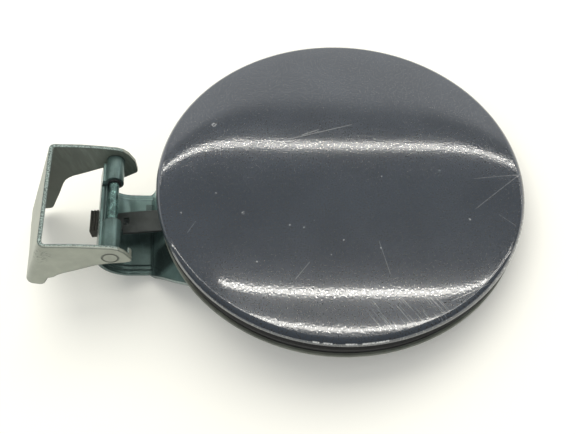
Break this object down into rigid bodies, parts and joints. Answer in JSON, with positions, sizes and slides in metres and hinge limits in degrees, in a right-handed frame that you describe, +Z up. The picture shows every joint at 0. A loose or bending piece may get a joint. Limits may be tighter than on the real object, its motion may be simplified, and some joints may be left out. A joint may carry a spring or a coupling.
{
  "type": "car fuel door",
  "caption": "Round pressed fuel door with a crowned painted skin, a gooseneck hinge arm and a U-shaped hinge bracket it swings on.",
  "frame": {"origin": "point on the outer face of the bracket's web, midway between its arms, where the door is fastened to a car", "axes": "+Y along the hinge pin, +X from the pin towards the disc, +Z up from the table the door lies on; the disc's painted face looks up, tipped 9.5 degrees down towards +X"},
  "size_m": [0.2393, 0.165, 0.0505],
  "materials": {
    "skin_paint": "glossy dark blue-grey metallic paint, worn at the rim",
    "panel_paint": "satin dark grey-green",
    "sealant": "matt black",
    "strip_grey": "matt light grey",
    "arm_paint": "satin dark grey-green",
    "spring_steel": "dull brown-grey",
    "pad_rubber": "matt dark brown",
    "bush_plastic": "matt black",
    "pin_steel": "satin zinc",
    "bracket_zinc": "satin light grey-green"
  },
  "bodies": {
    "bracket": {"hinge_bracket": "bracket_zinc", "hinge_pin": "pin_steel"},
    "door": {"outer_skin": "skin_paint", "inner_panel": "panel_paint", "hem_sealant": "sealant", "edge_strip": "strip_grey", "hinge_arm": "arm_paint", "spring_plate": "spring_steel", "spring_pad": "pad_rubber", "knuckle_bushes": "bush_plastic"}
  },
  "joints": [
    {"name": "door_hinge", "type": "hinge", "parent": "bracket", "child": "door", "pos_m": [0.03604, 0, -0.00185], "axis": [0, -1, 0], "range_deg": [0, 95]}
  ]
}
